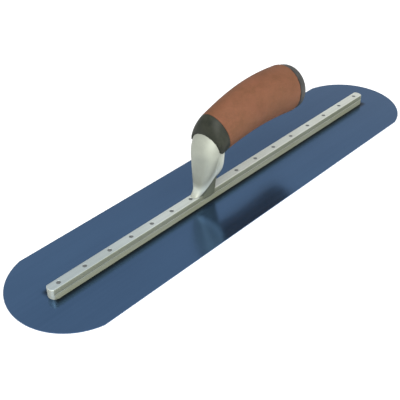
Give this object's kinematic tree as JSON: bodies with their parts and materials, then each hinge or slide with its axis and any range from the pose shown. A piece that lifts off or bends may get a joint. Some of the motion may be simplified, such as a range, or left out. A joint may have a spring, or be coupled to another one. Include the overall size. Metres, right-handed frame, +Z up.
{
  "type": "finishing trowel",
  "caption": "Long finishing trowel: flat round-ended steel blade riveted to an aluminium bar, with a cast gooseneck shank and a soft curved handle.",
  "frame": {"origin": "centre of the blade's underside, which is the bottom centre of the whole trowel", "axes": "+X along the blade towards the handle's free end, +Y across the blade, +Z up from the working face"},
  "size_m": [0.4572, 0.1016, 0.0912],
  "materials": {
    "blued_steel": "blued spring steel, satin, faint lengthwise grain",
    "extruded_aluminium": "satin mill finish, extrusion lines along the bar",
    "rivet_steel": "dull spun ends",
    "cast_aluminium": "tumbled casting, fine grain, satin",
    "screw_steel": "zinc plated",
    "collar_plastic": "semi-gloss black moulding",
    "core_plastic": "plain moulding, hidden",
    "grip_rubber": "red-brown soft moulded grip, fine matt grain",
    "cap_plastic": "dark grey moulding, matt"
  },
  "bodies": {
    "root": {"blade": "blued_steel", "mounting_bar": "extruded_aluminium", "blade_rivets": "rivet_steel", "shank": "cast_aluminium", "shank_screws": "screw_steel", "front_collar": "collar_plastic", "handle_core": "core_plastic", "grip_sleeve": "grip_rubber", "end_cap": "cap_plastic", "handle_screw": "screw_steel", "screw_washer": "screw_steel"}
  },
  "joints": []
}
